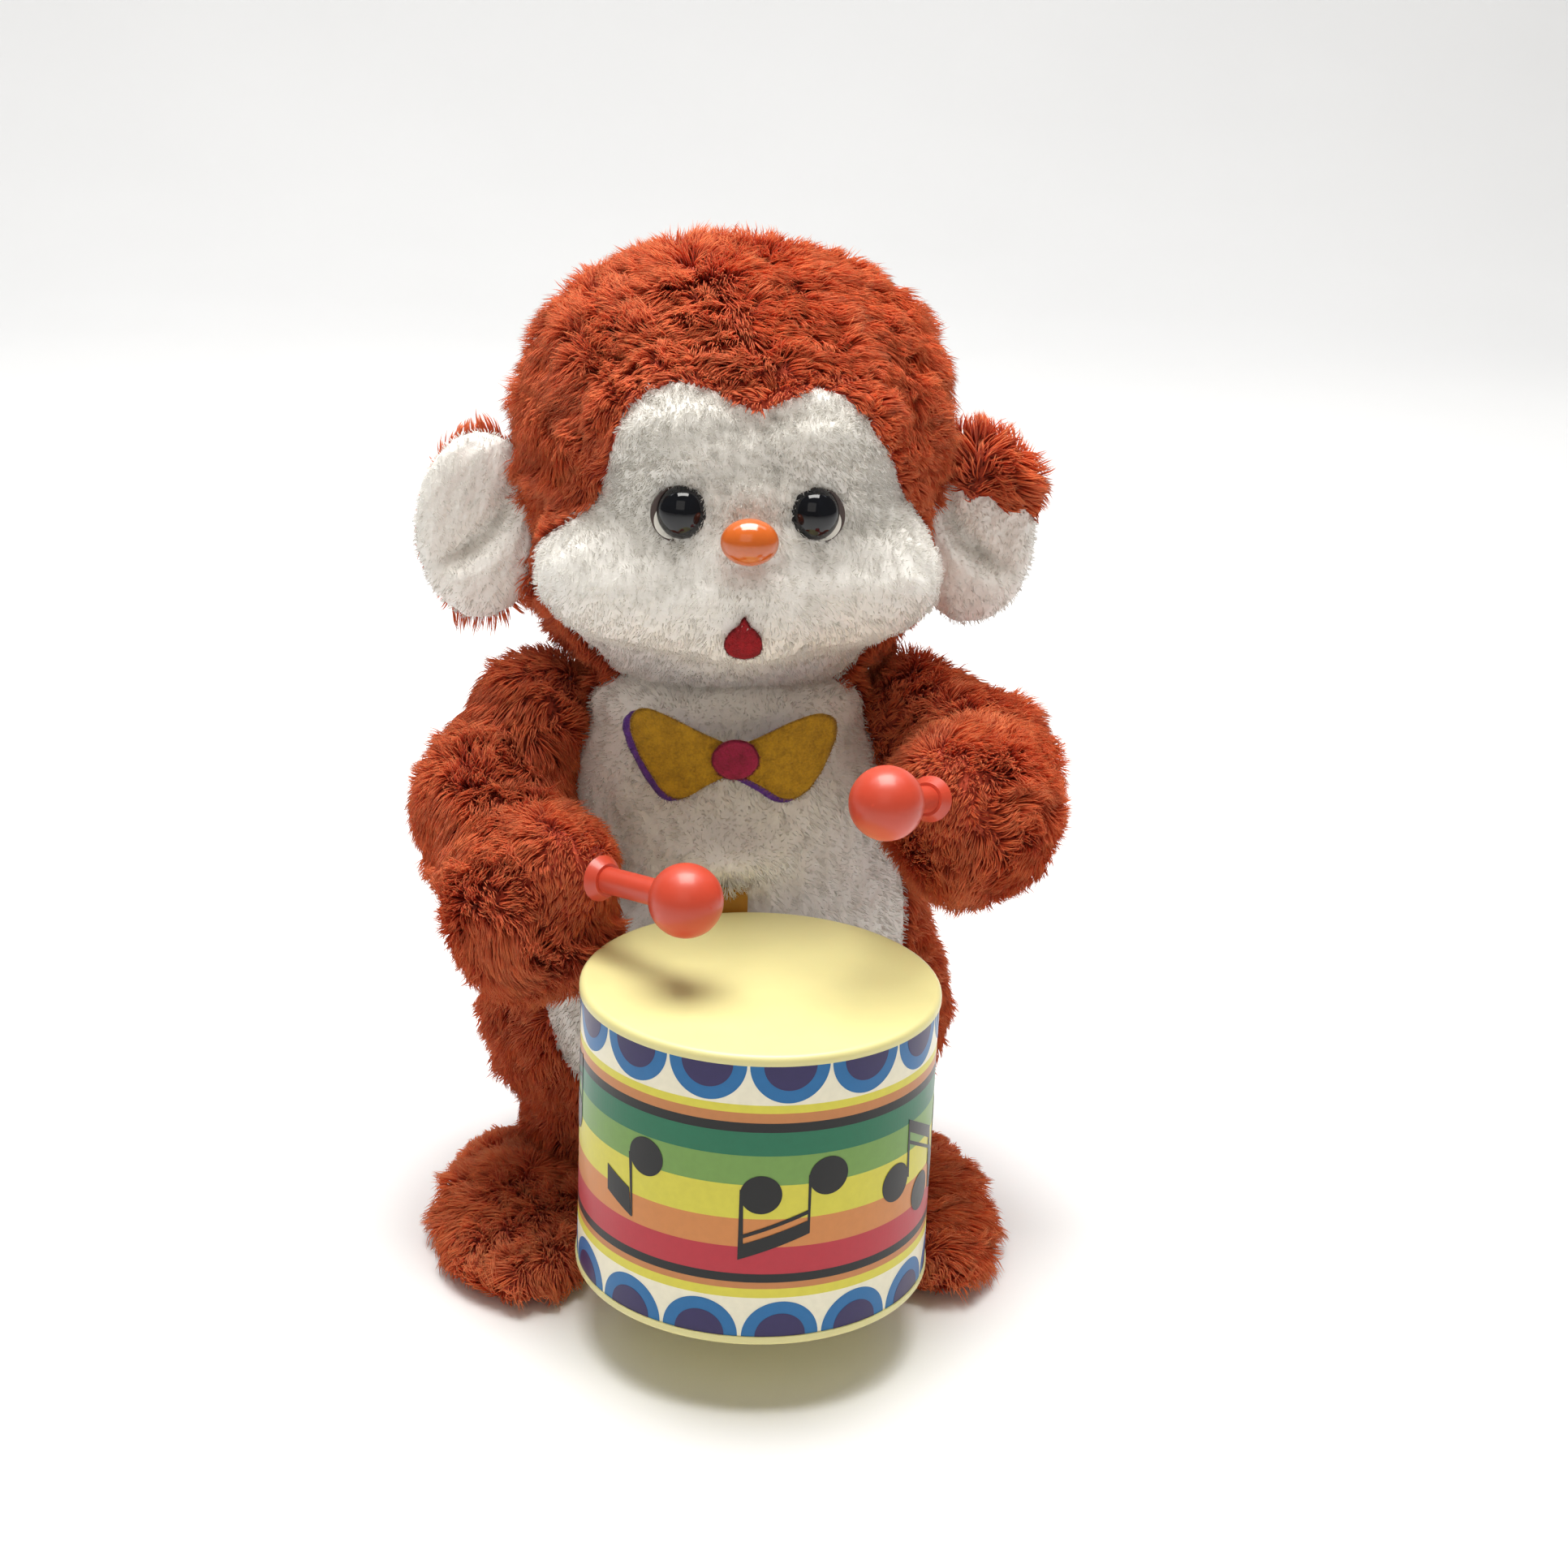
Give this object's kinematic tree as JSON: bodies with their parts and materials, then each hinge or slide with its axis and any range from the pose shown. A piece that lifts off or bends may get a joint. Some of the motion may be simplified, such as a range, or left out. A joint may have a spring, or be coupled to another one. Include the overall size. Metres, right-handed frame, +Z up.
{
  "type": "wind-up drumming monkey",
  "caption": "Plush-covered clockwork monkey toy that beats a small banded drum with two ball-ended sticks as its key runs down.",
  "frame": {"origin": "middle of the flat underside of the base plate, below the torso axis", "axes": "+Z up through the torso and head, -Y the way the monkey looks, +X towards the monkey's left hand"},
  "size_m": [0.129, 0.1568, 0.1947],
  "materials": {
    "steel_plate": "satin",
    "zinc_screw": "satin",
    "train_brass": "satin",
    "spring_steel": "satin",
    "base_plastic": "matte",
    "casing_plastic": "matte",
    "orange_plush": "matte",
    "white_plush": "matte",
    "mustard_felt": "matte",
    "purple_felt": "matte",
    "magenta_felt": "matte",
    "red_felt": "matte",
    "coral_plastic": "gloss",
    "cream_plastic": "satin",
    "drum_tube": "matte",
    "printed_paper": "gloss",
    "mustard_paint": "satin",
    "black_gloss": "gloss",
    "eye_white": "gloss",
    "orange_gloss": "gloss",
    "washer_plastic": "matte",
    "key_steel": "gloss"
  },
  "bodies": {
    "torso": {"base_plate": "base_plastic", "torso_front_shell": "casing_plastic", "torso_rear_shell": "casing_plastic", "shell_screws": "zinc_screw", "base_screws": "zinc_screw", "front_plate": "steel_plate", "rear_plate": "steel_plate", "plate_pillars": "train_brass", "mainspring": "spring_steel", "spring_anchor": "steel_plate", "arm_shaft": "zinc_screw", "shaft_clips": "spring_steel", "shaft_yoke": "steel_plate", "rocker_pin": "zinc_screw", "neck_pin": "zinc_screw", "drum_shell": "drum_tube", "drum_label": "printed_paper", "drum_head": "cream_plastic", "drum_bottom": "cream_plastic", "drum_bracket": "mustard_paint", "bracket_screws": "zinc_screw", "belly_panel": "white_plush", "body_plush": "orange_plush", "foot_plush_right": "orange_plush", "foot_plush_left": "orange_plush", "key_grommet": "washer_plastic", "bow_back": "purple_felt", "bow_front": "mustard_felt", "bow_knot": "magenta_felt"},
    "key": {"winding_key": "key_steel", "winding_arbor": "zinc_screw", "great_wheel": "train_brass", "ratchet_wheel": "steel_plate", "click_pawl": "spring_steel"},
    "second_mobile": {"second_arbor": "zinc_screw", "second_wheel": "train_brass"},
    "crank": {"crank_arbor": "zinc_screw", "crank_disc": "train_brass"},
    "governor": {"governor_arbor": "zinc_screw", "governor_fan": "train_brass"},
    "rocker": {"rocker_beam": "steel_plate"},
    "arm_right": {"arm_lever_right": "spring_steel", "arm_plush_right": "orange_plush", "drumstick_right": "coral_plastic", "stick_washer_right": "washer_plastic"},
    "arm_left": {"arm_lever_left": "spring_steel", "arm_plush_left": "orange_plush", "drumstick_left": "coral_plastic", "stick_washer_left": "washer_plastic"},
    "head": {"head_post": "steel_plate", "head_core": "casing_plastic", "head_plush": "orange_plush", "face_plush": "white_plush", "eye_domes": "black_gloss", "eye_whites": "eye_white", "nose": "orange_gloss", "face_washers": "washer_plastic", "mouth": "red_felt", "ear_right": "white_plush", "ear_left": "white_plush"}
  },
  "joints": [
    {"name": "key_turn", "type": "hinge", "parent": "torso", "child": "key", "pos_m": [0, 0.046, 0.044], "axis": [0, 1, 0], "continuous": true},
    {"name": "second_wheel_turn", "type": "hinge", "parent": "torso", "child": "second_mobile", "pos_m": [-0.01, 0, 0.06247], "axis": [0, 1, 0], "continuous": true},
    {"name": "crank_turn", "type": "hinge", "parent": "torso", "child": "crank", "pos_m": [0, 0, 0.06997], "axis": [0, 1, 0], "continuous": true},
    {"name": "governor_turn", "type": "hinge", "parent": "torso", "child": "governor", "pos_m": [-0.01771, 0, 0.07166], "axis": [0, 1, 0], "continuous": true},
    {"name": "arm_right_swing", "type": "hinge", "parent": "torso", "child": "arm_right", "pos_m": [0, 0, 0.097], "axis": [-1, 0, 0], "range_deg": [-8, 23]},
    {"name": "arm_left_swing", "type": "hinge", "parent": "torso", "child": "arm_left", "pos_m": [0, 0, 0.097], "axis": [-1, 0, 0], "range_deg": [-23, 8]},
    {"name": "rocker_tilt", "type": "hinge", "parent": "torso", "child": "rocker", "pos_m": [0, -0.0088, 0.088], "axis": [0, 1, 0], "range_deg": [-3.7, 10.4]},
    {"name": "head_sway", "type": "hinge", "parent": "torso", "child": "head", "pos_m": [0, -0.0088, 0.109], "axis": [0, 1, 0], "range_deg": [-3.6, 1.3]}
  ],
  "couplings": [
    {"joint": "second_wheel_turn", "follows": "key_turn", "ratio": -4},
    {"joint": "crank_turn", "follows": "key_turn", "ratio": 16},
    {"joint": "governor_turn", "follows": "key_turn", "ratio": 20},
    {"joint": "arm_left_swing", "follows": "arm_right_swing", "ratio": -1},
    {"joint": "rocker_tilt", "follows": "arm_right_swing", "ratio": 0.45},
    {"joint": "head_sway", "follows": "arm_right_swing", "ratio": -0.155}
  ]
}
